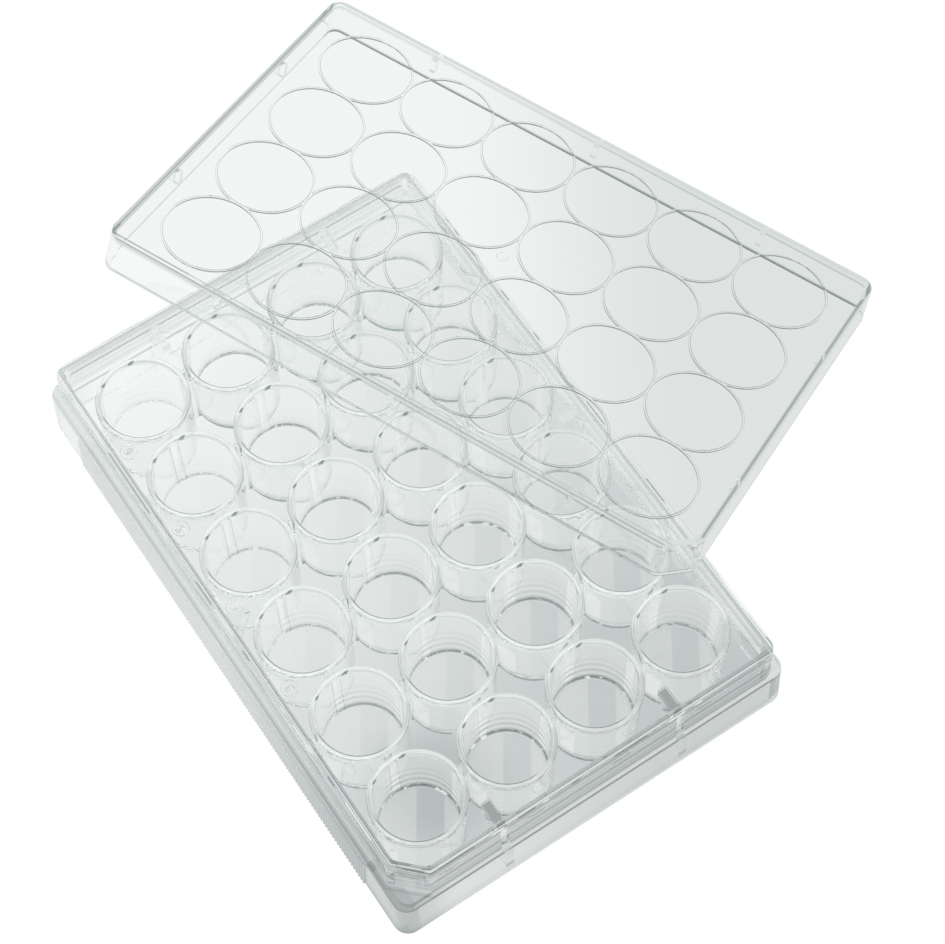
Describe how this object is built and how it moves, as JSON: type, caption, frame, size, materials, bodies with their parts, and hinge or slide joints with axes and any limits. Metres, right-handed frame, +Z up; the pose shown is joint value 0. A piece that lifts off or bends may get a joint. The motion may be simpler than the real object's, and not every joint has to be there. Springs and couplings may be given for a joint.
{
  "type": "well plate",
  "caption": "Clear moulded plate with a grid of round flat-bottomed wells, a stepped skirt and a grip band, with its loose clear lid leaning across one edge.",
  "frame": {"origin": "centre of the rectangle of the plate's foot, on the table", "axes": "+Z up, +X along the rows of wells from column 1 to the last column, +Y towards row A"},
  "size_m": [0.1712, 0.1494, 0.0373],
  "materials": {
    "plate": "clear, glossy polystyrene",
    "lid": "clear, glossy polystyrene"
  },
  "bodies": {
    "root": {"plate": "plate", "lid": "lid"}
  },
  "joints": []
}
